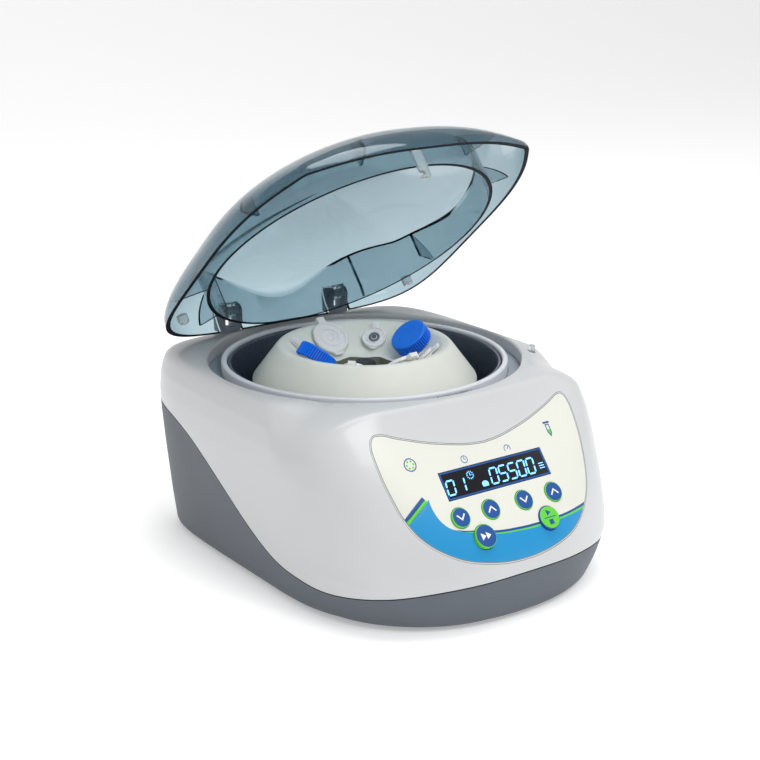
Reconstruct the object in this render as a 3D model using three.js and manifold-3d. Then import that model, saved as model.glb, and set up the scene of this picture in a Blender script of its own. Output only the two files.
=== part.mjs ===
// Benchtop laboratory centrifuge with an open, hinged clear lid. Millimetres, +Z up, the front
// faces -Y. The machine is laid out with its base plate at z = 0, then lifted on to its feet.
import * as THREE from 'three';
import { mergeVertices } from 'three/addons/utils/BufferGeometryUtils.js';
import Module from 'manifold-3d';

// ---- driving dimensions -------------------------------------------------------------------
const FOOT_DROP = 2; // how far the feet stand below the base
const Y_SHIFT = 17.575; // centres the whole machine on y = 0
const DECK_Z = 103.8; // flat top deck
const WALL = 3; // moulded wall thickness
const GAP = 0.3; // clearance between touching pieces
const PLAN_Y = -40; // where the rounded front half meets the back half
const BOWL_Y = 6; // rotor axis
const HOLE_R = 87.2; // opening in the deck
const RING_OUT = 79.8; // raised ring round the chamber
const RING_IN = 76.6;
const GROOVE_Z = 96.4; // floor of the groove between ring and deck
const PANEL_PHI = Math.atan(1.22); // slope of the control panel
const PANEL_O = [0, -105.5, 74.2]; // a point on the panel's face
const PANEL_T = 0.8; // overlay thickness
const DISPLAY = { x0: -34.7, x1: 32.5, s0: -15.5, s1: 0 };
const LID_OPEN = 40.6 * Math.PI / 180;
const HINGE_Y = 92;
const HINGE_Z = 115;
const RIM_Z = 104.3; // underside of the closed lid's rim
const LID = { xw: 93.7, y0: 5.5, front: 99.2, back: 90.6, h: 37, wall: 2.4 };
const SKIRT_OUT = 84.9; // round skirt inside the lid
const SKIRT_IN = 82.9;
const SKIRT_Z = 102.3;
const HINGE_X = 38;
const TILT = Math.atan(0.843); // tube lean, square to the rotor's inner cone
const COLOURS = {
  white: 0xdfe0e6, grey: 0x636b74, ring: 0xc6c8ce, bowl: 0x3c4452, rotor: 0xc9ccc0,
  smoke: 0x5f7480, black: 0x17191c, steel: 0xb4b8bc, blue: 0x1464e1, clear: 0xdfe6e8,
  cream: 0xecece2, navy: 0x0e4c94, green: 0x6ccb36, board: 0x1e6b3a, rubber: 0x222326,
  copper: 0x9a6a3c,
};

const wasm = await Module();
wasm.setup();

// ---- helpers ------------------------------------------------------------------------------
const mix = (a, b, t) => a + (b - a) * t;
const smooth = (a, b, v) => {
  const t = Math.min(1, Math.max(0, (v - a) / (b - a)));
  return t * t * (3 - 2 * t);
};
const smax = (a, b, k) => {
  const h = Math.max(k - Math.abs(a - b), 0) / k;
  return Math.max(a, b) + h * h * k / 4;
};
const smin = (a, b, k) => -smax(-a, -b, k);

// straight-line interpolation through [x, y] pairs with rising x
function along(table, x) {
  let i = 1;
  while (i < table.length - 1 && x > table[i][0]) i += 1;
  const [x0, y0] = table[i - 1];
  const [x1, y1] = table[i];
  return mix(y0, y1, Math.min(1, Math.max(0, (x - x0) / (x1 - x0))));
}

function signedVolume(pos, idx) {
  let sum = 0;
  for (let i = 0; i < idx.length; i += 3) {
    const [a, b, c] = [idx[i] * 3, idx[i + 1] * 3, idx[i + 2] * 3];
    sum += pos[a] * (pos[b + 1] * pos[c + 2] - pos[b + 2] * pos[c + 1]);
    sum += pos[a + 1] * (pos[b + 2] * pos[c] - pos[b] * pos[c + 2]);
    sum += pos[a + 2] * (pos[b] * pos[c + 1] - pos[b + 1] * pos[c]);
  }
  return sum;
}

function solid(geometry) {
  const g = geometry.clone();
  g.deleteAttribute('normal');
  g.deleteAttribute('uv');
  const m = mergeVertices(g, 1e-4);
  const pos = new Float32Array(m.attributes.position.array);
  const raw = m.index.array;
  const idx = [];
  for (let i = 0; i < raw.length; i += 3) {
    const [a, b, c] = [raw[i], raw[i + 1], raw[i + 2]];
    if (a !== b && b !== c && a !== c) idx.push(a, b, c);
  }
  if (signedVolume(pos, idx) < 0) {
    for (let i = 0; i < idx.length; i += 3) [idx[i], idx[i + 1]] = [idx[i + 1], idx[i]];
  }
  return new wasm.Manifold(
    new wasm.Mesh({ numProp: 3, vertProperties: pos, triVerts: new Uint32Array(idx) }),
  );
}

function geometryOf(body) {
  const mesh = body.getMesh();
  const g = new THREE.BufferGeometry();
  g.setAttribute('position', new THREE.BufferAttribute(new Float32Array(mesh.vertProperties), 3));
  g.setIndex(new THREE.BufferAttribute(new Uint32Array(mesh.triVerts), 1));
  g.computeVertexNormals();
  return g;
}

const box = (x0, x1, y0, y1, z0, z1) => solid(
  new THREE.BoxGeometry(x1 - x0, y1 - y0, z1 - z0)
    .translate((x0 + x1) / 2, (y0 + y1) / 2, (z0 + z1) / 2),
);
const rod = (r, z0, z1, x = 0, y = 0, seg = 24) => solid(
  new THREE.CylinderGeometry(r, r, z1 - z0, seg).rotateX(Math.PI / 2)
    .translate(x, y, (z0 + z1) / 2),
);
const turned = (points, seg = 32, x = 0, y = 0) => solid(
  new THREE.LatheGeometry(points.map(([r, z]) => new THREE.Vector2(r, z)), seg)
    .rotateX(Math.PI / 2).translate(x, y, 0),
);
// a flat outline in y and z, made thick along x
function slab(points, x0, x1) {
  const shape = new THREE.Shape(points.map(([y, z]) => new THREE.Vector2(y, z)));
  const g = new THREE.ExtrudeGeometry(shape, { depth: x1 - x0, bevelEnabled: false });
  const basis = new THREE.Matrix4().makeBasis(
    new THREE.Vector3(0, 1, 0), new THREE.Vector3(0, 0, 1), new THREE.Vector3(1, 0, 0),
  );
  return solid(g.applyMatrix4(basis).translate(x0, 0, 0));
}
// a flat outline in x and y, made thick along z
function plate(points, z0, z1) {
  const shape = new THREE.Shape(points.map(([x, y]) => new THREE.Vector2(x, y)));
  const g = new THREE.ExtrudeGeometry(shape, { depth: z1 - z0, bevelEnabled: false });
  return solid(g.translate(0, 0, z0));
}
const circle = (r, n, phase = 0) => Array.from({ length: n }, (_, i) => {
  const a = 2 * Math.PI * i / n + phase;
  return [r * Math.cos(a), r * Math.sin(a)];
});

const machine = new THREE.Group();
machine.name = 'machine';
machine.position.set(0, Y_SHIFT, FOOT_DROP);

function addMesh(parent, name, body, colour, roughness = 0.5, metalness = 0) {
  const geometry = geometryOf(body);
  const material = new THREE.MeshStandardMaterial({ color: colour, roughness, metalness });
  const mesh = new THREE.Mesh(geometry, material);
  mesh.name = name;
  parent.add(mesh);
  return mesh;
}
function frame(parent, x, y, z, rx = 0, rz = 0) {
  const g = new THREE.Group();
  g.position.set(x, y, z);
  g.rotation.set(rx, 0, rz, 'ZXY');
  parent.add(g);
  return g;
}

// ---- the moulded body ---------------------------------------------------------------------
const HALF_WIDTH = [[0, 88.5], [20, 91], [50, 93.8], [70, 95.3], [82, 95.6], [92, 94.6],
  [98, 92.8], [104, 90.4]];
const REACH_FRONT = [[0, 93.5], [12, 95], [26, 96.5], [34, 97], [104, 97]];
const REACH_BACK = [[0, 135], [80, 138.5], [95, 138], [104, 136]];
const FRONT_POWER = [[0, 2.3], [24, 3], [60, 2.7], [104, 2.6]];
const SEAM = [[-150, 24], [-135, 23], [-118, 19.4], [-94, 15.6], [-78, 14.6], [-63, 15.8],
  [-46, 18], [-30, 23.6], [-12, 33.6], [4, 44.3], [21, 55.4], [38, 65], [55, 71.2], [74, 74.6],
  [95, 77.4], [150, 82]];
const sinP = Math.sin(PANEL_PHI);
const cosP = Math.cos(PANEL_PHI);

// superellipse measure of (x, y) against the body's plan at height z: 1 on the wall
function planNorm(x, y, z) {
  const w = along(HALF_WIDTH, z);
  const front = y < PLAN_Y;
  const reach = front ? along(REACH_FRONT, z) : along(REACH_BACK, z);
  const n = front ? along(FRONT_POWER, z) : 7;
  return ((Math.abs(x) / w) ** n + (Math.abs(y - PLAN_Y) / reach) ** n) ** (1 / n);
}

// signed distance-like measure of the body: below 0 inside
function bodyField(x, y, z) {
  const side = along(HALF_WIDTH, z) * (planNorm(x, y, z) - 1);
  const panel = -(y - PANEL_O[1]) * sinP + (z - PANEL_O[2]) * cosP;
  const brow = Math.hypot(x, y - 129.5) - 216 - (104 - z) * 0.25;
  const front = smax(smin(panel, brow, 9), z - DECK_Z, 2.5);
  const body = smax(side, front, 12 + 22 * smooth(20, 70, Math.abs(x)) * smooth(-30, -60, y)
    - 7 * smooth(-60, -30, y));
  return smax(body, -z, 3);
}

// closed skin where the body field equals -inset, met by rays from the middle of the body
function bodySkin(inset, cols, rows) {
  const centre = [0, -10, 52];
  const pos = [];
  const idx = [];
  const cast = (tx, ty, tz) => {
    const d = [tx - centre[0], ty - centre[1], tz - centre[2]];
    let lo = 0;
    let hi = 2;
    for (let i = 0; i < 40; i += 1) {
      const t = (lo + hi) / 2;
      const f = bodyField(centre[0] + t * d[0], centre[1] + t * d[1], centre[2] + t * d[2]);
      if (f + inset < 0) lo = t;
      else hi = t;
    }
    pos.push(centre[0] + lo * d[0], centre[1] + lo * d[1], centre[2] + lo * d[2]);
  };
  cast(0, -10, 0);
  for (const [scale, z] of rows) {
    const frontY = z < 36 ? -137 : Math.min(-86.5, PANEL_O[1] + (z - PANEL_O[2]) / 1.22);
    for (let j = 0; j < cols; j += 1) {
      const a = 2 * Math.PI * j / cols;
      const [c, s] = [Math.cos(a), Math.sin(a)];
      const n = s < 0 ? 3 : 7;
      const r = scale / ((Math.abs(c) ** n + Math.abs(s) ** n) ** (1 / n));
      const reach = s < 0 ? PLAN_Y - frontY : 137;
      cast(r * c * along(HALF_WIDTH, z), PLAN_Y + r * s * reach, z);
    }
  }
  cast(0, -10, 104);
  const last = rows.length * cols + 1;
  for (let j = 0; j < cols; j += 1) {
    const k = (j + 1) % cols;
    idx.push(0, 1 + k, 1 + j);
    idx.push(last, last - cols + j, last - cols + k);
    for (let i = 0; i < rows.length - 1; i += 1) {
      const [a, b] = [1 + i * cols + j, 1 + i * cols + k];
      idx.push(a, b, b + cols, a, b + cols, a + cols);
    }
  }
  const g = new THREE.BufferGeometry();
  g.setAttribute('position', new THREE.BufferAttribute(new Float32Array(pos), 3));
  g.setIndex(idx);
  return solid(g);
}
const COLS = 40;
const FINE_ROWS = [[0.9, 0], [0.985, 0], [1, 4], [1, 20], [1, 28], [1, 34], [1, 40], [1, 50],
  [1, 68], [1, 84], [1, 91], [1, 96], [1, 100], [1, 102.8], [0.985, 104], [0.95, 104]];
const COARSE_ROWS = [[0.97, 0], [1, 8], [1, 24], [1, 36], [1, 56], [1, 84], [1, 96], [0.97, 104]];

const outer = bodySkin(0, COLS, FINE_ROWS);
const cavity = bodySkin(WALL, 32, COARSE_ROWS);
const walls = outer.subtract(cavity);
const seamLine = new THREE.SplineCurve(SEAM.map(([y, z]) => new THREE.Vector2(y, z)))
  .getPoints(20).map((p) => [p.x, p.y]);
const below = (dz) => slab(
  [[-150, -10], ...seamLine.map(([y, z]) => [y, z + dz]), [150, -10]].reverse(), -120, 120,
);

// control overlay: a thin sheet that follows the sloping face
const half = [[12, 11.4], [31, 16], [48, 22], [57, 26], [62.5, 26], [65.2, 20], [65, 7.5],
  [63.6, -3], [60.3, -17], [54.5, -29], [45, -39.4], [33, -47], [17, -51.6]];
const overlayOutline = (grow) => {
  const pts = [[0, 10.2], ...half, [0, -53], ...half.map(([x, s]) => [-x, s]).reverse()];
  const curve = new THREE.SplineCurve([...pts, pts[0]].map(([x, s]) => new THREE.Vector2(x, s)));
  const line = curve.getPoints(36).slice(0, -1);
  return line.map((p, i) => {
    const a = line[(i + line.length - 1) % line.length];
    const b = line[(i + 1) % line.length];
    const l = Math.hypot(b.x - a.x, b.y - a.y);
    return [p.x - grow * (b.y - a.y) / l, p.y + grow * (b.x - a.x) / l];
  });
};
const onPanel = (body) => body.rotate([PANEL_PHI * 180 / Math.PI, 0, 0]).translate(PANEL_O);
const overlaySkin = bodySkin(PANEL_T, COLS, FINE_ROWS);
const recessSkin = bodySkin(PANEL_T + GAP, COLS, FINE_ROWS);
const windowCut = box(DISPLAY.x0, DISPLAY.x1, DISPLAY.s0, DISPLAY.s1, -20, 12);
const buttons = [
  ['time_down_button', -32, -24.8, 5.3], ['time_up_button', -12.8, -24.8, 5.3],
  ['speed_down_button', 8.9, -24.8, 5.3], ['speed_up_button', 28.7, -24.8, 5.3],
  ['quick_button', -22.3, -37.1, 6.2], ['start_stop_button', 19.5, -37.1, 6.2],
];
let panelHoles = windowCut;
for (const [, x, s, r] of buttons) panelHoles = panelHoles.add(rod(r + GAP, -20, 12, x, s, 16));
const recess = onPanel(plate(overlayOutline(GAP), -14, 14)).subtract(recessSkin);
const overlay = onPanel(plate(overlayOutline(0), -14, 14).subtract(panelHoles))
  .intersect(outer).subtract(overlaySkin);

// ---- housing: base, top, chamber ----------------------------------------------------------
const FEET = [[-66, 70], [66, 70], [-58, -84], [58, -84]];
const INLET = { x: -48, z: 34, w: 27, h: 19.5 };
const SWITCH = { x: 44, z: 34, w: 13, h: 19.5 };
const backY = PLAN_Y + 136.3;
let base = walls.intersect(below(-GAP / 2));
for (const [x, y] of FEET) {
  base = base.add(rod(9.6, 1, 4.5, x, y, 16)).subtract(rod(7.5 + GAP, -1, 1.2, x, y, 16));
}
for (const c of [INLET, SWITCH]) {
  base = base.subtract(box(c.x - c.w / 2 - GAP, c.x + c.w / 2 + GAP, 85, 110,
    c.z - c.h / 2 - GAP, c.z + c.h / 2 + GAP));
}
addMesh(machine, 'base_shell', base, COLOURS.grey, 0.6);

const PIN = [80.5, -43];
let top = walls.subtract(below(GAP / 2));
top = top.add(rod(HOLE_R + 2.4, GROOVE_Z - 2.9, DECK_Z - 1, 0, BOWL_Y, 48));
top = top.subtract(rod(HOLE_R, GROOVE_Z - 8, DECK_Z + 5, 0, BOWL_Y, 48));
top = top.subtract(recess).subtract(onPanel(panelHoles));
top = top.subtract(rod(2.1, 90, 110, PIN[0], PIN[1], 16));
addMesh(machine, 'upper_shell', top, COLOURS.white, 0.35);

const ring = turned([[RING_IN, 88], [RING_OUT, 88], [RING_OUT, DECK_Z - 1.3],
  [RING_OUT - 0.5, DECK_Z - 0.8], [RING_IN + 0.5, DECK_Z - 0.8], [RING_IN, DECK_Z - 1.3],
  [RING_IN, 88]], 48, 0, BOWL_Y);
addMesh(machine, 'chamber_ring', ring, COLOURS.ring, 0.4);
const LATCH_Y = BOWL_Y - 84;
const grooveFloor = turned([[RING_OUT + GAP, GROOVE_Z - 2.4], [HOLE_R - GAP, GROOVE_Z - 2.4],
  [HOLE_R - GAP, GROOVE_Z], [RING_OUT + GAP, GROOVE_Z], [RING_OUT + GAP, GROOVE_Z - 2.4]],
  48, 0, BOWL_Y).subtract(box(-9, 3.1, LATCH_Y - 2.2, LATCH_Y + 1.8, 93, GROOVE_Z + 0.1));
addMesh(machine, 'groove_floor', grooveFloor, COLOURS.bowl, 0.5);

const liner = turned([[9, 50], [62, 50], [73, 57], [RING_IN - 0.4, 70],
  [RING_IN - 0.4, 101.5], [RING_IN - 2.6, 101.5], [RING_IN - 2.6, 71], [71, 59],
  [61, 52.4], [9, 52.4], [9, 50]], 48, 0, BOWL_Y);
addMesh(machine, 'chamber_liner', liner, COLOURS.bowl, 0.35, 0.2);

FEET.forEach(([x, y], i) => {
  addMesh(machine, `foot_${i + 1}`, turned([[0, -FOOT_DROP], [6.6, -FOOT_DROP], [7.5, -1],
    [7.5, 0.9], [0, 0.9]], 16, x, y), COLOURS.rubber, 0.9);
});

// ---- control panel ------------------------------------------------------------------------
addMesh(machine, 'control_overlay', overlay, COLOURS.cream, 0.45);
const panel = frame(machine, ...PANEL_O, PANEL_PHI);
addMesh(panel, 'display_module', box(DISPLAY.x0 + GAP, DISPLAY.x1 - GAP, DISPLAY.s0 + GAP,
  DISPLAY.s1 - GAP, -8, -0.25), COLOURS.black, 0.15);
for (const [name, x, s, r] of buttons) {
  const cap = turned([[0, -8.5], [2.2, -8.5], [2.2, -2.2], [r, -2.2], [r, 0.25], [r - 0.5, 0.6],
    [0, 0.75]], 16, x, s);
  const colour = name === 'start_stop_button' ? COLOURS.green : COLOURS.navy;
  addMesh(panel, name, cap, colour, 0.4);
}
addMesh(panel, 'control_board', box(-40, 38, -41, 6, -11, -9.4), COLOURS.board, 0.6);

// ---- lid latch and lid switch -------------------------------------------------------------
const latchBlock = box(-11, 11, LATCH_Y - 4, LATCH_Y + 4, GROOVE_Z + 2.3, 101.6)
  .intersect(rod(HOLE_R - GAP, 90, 110, 0, BOWL_Y, 48))
  .subtract(rod(RING_OUT + 1, 90, 110, 0, BOWL_Y, 48))
  .subtract(box(-4.3, 3.1, LATCH_Y - 2.2, LATCH_Y + 1.8, 90, 110));
addMesh(machine, 'latch_plate', latchBlock, COLOURS.clear, 0.4);
const bolt = box(-8.5, -4.8, LATCH_Y - 1.4, LATCH_Y + 1.4, GROOVE_Z + 0.5, GROOVE_Z + 1.9)
  .add(box(-8.5, -6, LATCH_Y - 1.4, LATCH_Y + 1.4, 90, GROOVE_Z + 1.9));
addMesh(machine, 'latch_bolt', bolt, COLOURS.steel, 0.35, 0.9);
addMesh(machine, 'latch_solenoid', box(-16, 6, LATCH_Y - 1.5, LATCH_Y + 3.3, 76, 87.4),
  COLOURS.copper, 0.5, 0.4);
addMesh(machine, 'lid_sensor_pin', turned([[0, 94], [3, 94], [3, 96], [1.75, 96], [1.75, 106.4],
  [1.2, 107], [0, 107]], 16, ...PIN), COLOURS.ring, 0.4);
addMesh(machine, 'lid_switch', box(PIN[0] - 5, PIN[0] + 4, PIN[1] - 5, PIN[1] + 9, 80, 91.2),
  COLOURS.black, 0.6);

// ---- drive --------------------------------------------------------------------------------
const drive = frame(machine, 0, BOWL_Y, 0);
addMesh(drive, 'motor_plate', plate(circle(38, 3, -Math.PI / 6).flatMap(([x, y]) => {
  const a = Math.atan2(y, x);
  return [-0.3, 0, 0.3].map((d) => [38 * Math.cos(a + d), 38 * Math.sin(a + d)]);
}), 45, 47.5).subtract(rod(6, 40, 50)), COLOURS.steel, 0.4, 0.8);
addMesh(drive, 'motor', turned([[0, 9], [17, 9], [19.5, 11.5], [19.5, 42], [17, 44.7],
  [0, 44.7]], 32), COLOURS.black, 0.45, 0.6);
circle(31, 3, -Math.PI / 6).forEach(([x, y], i) => {
  addMesh(drive, `motor_damper_${i + 1}`, turned([[0, 3.4], [6, 3.4], [6, 12], [4, 20], [4, 32],
    [6, 40], [6, 44.7], [0, 44.7]], 16, x, y), COLOURS.rubber, 0.9);
});
addMesh(machine, 'power_board', box(-62, -28, 40, 70, 8, 9.6), COLOURS.board, 0.6);

// ---- rotor, nut and tubes -----------------------------------------------------------------
const rotorFrame = frame(machine, 0, BOWL_Y, 0);
addMesh(rotorFrame, 'motor_shaft', rod(4, 45, 84, 0, 0, 20), COLOURS.steel, 0.3, 0.9);
const CONE = { r0: 18, z0: 88.8 };
const coneZ = (r) => CONE.z0 + (r - CONE.r0) * Math.tan(TILT);
const SHELF_Z = 96; // narrow shelf between the cone and the well
const SHELF_R = CONE.r0 + (SHELF_Z - CONE.z0) / Math.tan(TILT);
const WELL_R = 21.9; // octagonal well round the knob
const seats = [];
for (let i = 0; i < 8; i += 1) {
  const big = i % 2 === 0;
  seats.push({ angle: i * Math.PI / 4, big, r: big ? 35.5 : 34, bore: big ? 8.3 : 5.6 });
}
let rotorBody = turned([[4.05, 66], [20, 66], [23, 60], [52, 60], [60, 64], [62.8, 70],
  [62.8, 91], [62.3, 92.4], [49, 109.4], [47.2, 110.8], [45, 110.6], [43.4, coneZ(43.4)],
  [SHELF_R, SHELF_Z], [19, SHELF_Z], [17, 78], [4.05, 78], [4.05, 66]], 40);
rotorBody = rotorBody.subtract(plate(circle(WELL_R, 8, Math.PI / 8 + 0.17), 78.4, 100));
const seatTurn = (body, seat) => body
  .rotate([0, -TILT * 180 / Math.PI, 0])
  .translate([seat.r, 0, coneZ(seat.r)])
  .rotate([0, 0, seat.angle * 180 / Math.PI]);
for (const seat of seats) {
  const deep = seat.big ? 34.5 : 37.5;
  const r = seat.bore + GAP;
  const face = seat.big ? 11.5 : 7.5;
  const bore = turned([[0, -deep], [r * 0.55, -deep + 1.2], [r, -deep + 9], [r, 0], [face, 0],
    [face, 9], [0, 9]], 16);
  rotorBody = rotorBody.subtract(seatTurn(bore, seat));
}
addMesh(rotorFrame, 'rotor', rotorBody, COLOURS.rotor, 0.55);
addMesh(rotorFrame, 'rotor_nut', turned([[4.05, 78.3], [10, 78.3], [10, 81], [6.5, 83], [6.5, 98.6],
  [5.4, 99.8], [0, 99.8], [0, 84.3], [4.05, 84.3], [4.05, 78.3]], 20), COLOURS.black, 0.5);

const bigTube = (neck) => turned([[0, -33], [4, -32], [7.6, -24], [8, -21], [8, 0.4], [8.9, 0.4],
  [8.9, 1.2], [8, 1.2], [8, neck], [7, neck], [7, -21], [6.6, -24], [3.4, -30.6],
  [0, -31.4]], 14);
const screwCap = turned([[0, 9], [10.6, 9], [11, 8.6], [11, 1.5], [8.3, 1.5], [8.3, 7.4],
  [0, 7.4]], 20);
const snapLid = (r, z) => turned([[0, z], [r, z], [r, z + 1.6], [r - 0.4, z + 2], [0, z + 2]], 14);
const strap = (r, z) => box(r - 2, r + 4, -2, 2, 0.6, z + 1.2)
  .subtract(box(0, r + 2.4, -3, 3, 1.8, z)).subtract(box(0, r - 0.9, -3, 3, 0, z));
const smallTube = turned([[0, -36.5], [2, -36], [4.8, -19], [5.2, -14], [5.2, 0.4], [6.6, 0.4],
  [6.6, 1.4], [5.2, 1.4], [4.3, 1.4], [4.3, -14], [3.9, -19], [1.2, -34.6], [0, -35]], 12);
const names = ['right', 'back_right', 'back', 'back_left', 'left', 'front_left', 'front',
  'front_right'];
seats.forEach((seat, i) => {
  const stand = frame(rotorFrame, 0, 0, 0, 0, seat.angle);
  const leaning = frame(stand, seat.r, 0, coneZ(seat.r));
  leaning.rotation.set(0, -TILT, 0);
  if (i === 0 || i === 4) {
    addMesh(leaning, `tube_5ml_${names[i]}`, bigTube(7), COLOURS.clear, 0.3);
    addMesh(leaning, `screw_cap_${names[i]}`, screwCap, COLOURS.blue, 0.35);
  } else if (seat.big) {
    const tube = bigTube(1.2).add(snapLid(10.6, 1.5)).add(strap(10.6, 1.5).add(
      box(8.2, 13, -2, 2, 0.4, 1.2)));
    addMesh(leaning, `tube_5ml_${names[i]}`, tube, COLOURS.clear, 0.3);
  } else {
    const tube = smallTube.add(snapLid(6.9, 1.7)).add(strap(6.9, 1.7).add(
      box(5.8, 9.4, -2, 2, 0.6, 1.4)));
    addMesh(leaning, `tube_1500ul_${names[i]}`, tube, COLOURS.clear, 0.3);
  }
});

// ---- lid, drawn closed inside a frame that is turned open about the hinge -----------------
const lidTurn = frame(machine, 0, HINGE_Y, HINGE_Z, -LID_OPEN);
const lid = frame(lidTurn, 0, -HINGE_Y, -HINGE_Z);

// the front corners of the rim sweep out to a point
const CORNER = { angle: 48.6 * Math.PI / 180, reach: 0.055, spread: 0.16 };
function cornerSweep(angle, level) {
  const off = Math.abs(Math.abs(Math.PI / 2 - (angle - Math.PI)) - (Math.PI / 2 - CORNER.angle));
  return 1 + CORNER.reach * Math.exp(-off / CORNER.spread) * level ** 24;
}

// dome from nested plan curves; shrink insets it, drop carries its wall below the rim
function dome(shrink, drop, cols, levels) {
  const pos = [0, LID.y0, RIM_Z - drop];
  const idx = [];
  const ringAt = (level, z0) => {
    for (let j = 0; j < cols; j += 1) {
      const a = 2 * Math.PI * j / cols;
      const [c, s] = [Math.cos(a), Math.sin(a)];
      const n = s < 0 ? mix(1.8, 2.75, level ** 4) : mix(2.3, 5.2, level ** 4);
      const plain = level / ((Math.abs(c) ** n + Math.abs(s) ** n) ** (1 / n));
      const r = plain * (s < 0 ? cornerSweep(a, level) : 1);
      const power = 2.1 + 2.9 * smooth(0.57, 0.94, s);
      const h = (LID.h - shrink) * Math.sqrt(Math.max(0, 1 - level ** power));
      const reach = (s < 0 ? LID.front : LID.back) - shrink;
      pos.push(r * c * (LID.xw - shrink), LID.y0 + r * s * reach, z0 ?? RIM_Z + 0.8 + h);
    }
  };
  ringAt(1, RIM_Z - drop);
  for (const level of levels) ringAt(level);
  const count = levels.length + 1;
  pos.push(0, LID.y0, RIM_Z + 0.8 + LID.h - shrink);
  const last = count * cols + 1;
  for (let j = 0; j < cols; j += 1) {
    const k = (j + 1) % cols;
    idx.push(0, 1 + k, 1 + j);
    idx.push(last, last - cols + j, last - cols + k);
    for (let i = 0; i < count - 1; i += 1) {
      const [a, b] = [1 + i * cols + j, 1 + i * cols + k];
      idx.push(a, b, b + cols, a, b + cols, a + cols);
    }
  }
  const g = new THREE.BufferGeometry();
  g.setAttribute('position', new THREE.BufferAttribute(new Float32Array(pos), 3));
  g.setIndex(idx);
  return solid(g);
}
const LID_COLS = 44;
const LEVELS = [1, 0.98, 0.94, 0.87, 0.76, 0.58, 0.3];
const shellOut = dome(0, 0, LID_COLS, LEVELS);
const shellLong = dome(0.4, 3.5, LID_COLS, LEVELS);
const skirt = rod(SKIRT_OUT, SKIRT_Z, 145, 0, BOWL_Y, 48)
  .subtract(rod(SKIRT_IN, 90, 150, 0, BOWL_Y, 48)).intersect(shellLong);
// stiffening webs between the skirt and the outer wall
const webAngles = [-112, -64, -152, -28, 152, 28, 124, 56];
const webs = wasm.Manifold.union(webAngles.map((degrees) => box(SKIRT_OUT - 1, 130, -0.8, 0.8,
  109.5, 145).rotate([0, 0, degrees]).translate([0, BOWL_Y, 0]))).intersect(shellOut);
let lidBody = shellOut.subtract(dome(LID.wall, 3, LID_COLS, LEVELS)).add(skirt).add(webs);
for (const side of [-1, 1]) {
  const x = side * HINGE_X;
  lidBody = lidBody.subtract(box(x - 7.6, x + 7.6, 86, 120, 95, 119.6));
}
lidBody = lidBody.subtract(box(-3.8, 3.8, -80, -74, 100, 112));
addMesh(lid, 'lid_shell', lidBody, COLOURS.smoke, 0.12);

const catchPiece = slab([[LATCH_Y - 1.3, 95.4], [LATCH_Y + 1.3, 95.4], [LATCH_Y + 1.3, 111.7],
  [LATCH_Y - 1.3, 111.7]], -3.5, 3.5)
  .subtract(box(-4.5, 10, -90, -70, 90, 95)).subtract(box(-4.5, -0.6, -90, -70, 96.4, 98.9))
  .subtract(box(2.4, 6, -90, -70, 90, 101.8)).subtract(box(-6, -2.6, -90, -70, 98, 101.8));
addMesh(lid, 'lid_catch', catchPiece, COLOURS.clear, 0.25);
for (const side of [-1, 1]) {
  const tag = side < 0 ? 'left' : 'right';
  const x = side * HINGE_X;
  const about = circle(4, 20).map(([y, z]) => [y + HINGE_Y, z + HINGE_Z]);
  const hole = slab(circle(1.55, 16).map(([y, z]) => [y + HINGE_Y, z + HINGE_Z]), x - 9, x + 9);
  const arm = slab(about, x - 2.7, x + 2.7)
    .add(slab([[85.6, 113.2], [HINGE_Y, 113.2], [HINGE_Y, 117], [85.6, 117]],
      x - 2.7, x + 2.7))
    .add(box(x - 3.6, x + 3.6, 85.4, 87.2, 110, 117.6)).subtract(hole);
  addMesh(lid, `hinge_arm_${tag}`, arm, COLOURS.black, 0.5);
  const cheek = [[88.3, 104.1], [95.4, 104.1], [96.2, HINGE_Z], ...circle(4.2, 12).slice(1, 6)
    .map(([y, z]) => [y + HINGE_Y, z + HINGE_Z]), [87.8, HINGE_Z], [88.3, 107]];
  const bracket = slab(cheek, x - 7.2, x - 3).add(slab(cheek, x + 3, x + 7.2))
    .add(box(x - 7.2, x + 7.2, 88.3, 95, 104.1, 106.6))
    .subtract(slab(circle(1.45, 16).map(([y, z]) => [y + HINGE_Y, z + HINGE_Z]), x - 9, x + 9));
  addMesh(machine, `hinge_bracket_${tag}`, bracket, COLOURS.black, 0.5);
  addMesh(machine, `hinge_pin_${tag}`, slab(circle(1.4, 16).map(([y, z]) => [y + HINGE_Y,
    z + HINGE_Z]), x - 7, x + 7), COLOURS.steel, 0.3, 0.9);
  addMesh(lid, `lid_bumper_${tag}`, turned([[0, 103.9], [2.4, 103.9], [3.2, 104.9], [3.2, 109],
    [0, 109]], 16, side * 78, 72), COLOURS.clear, 0.4);
}

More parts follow.
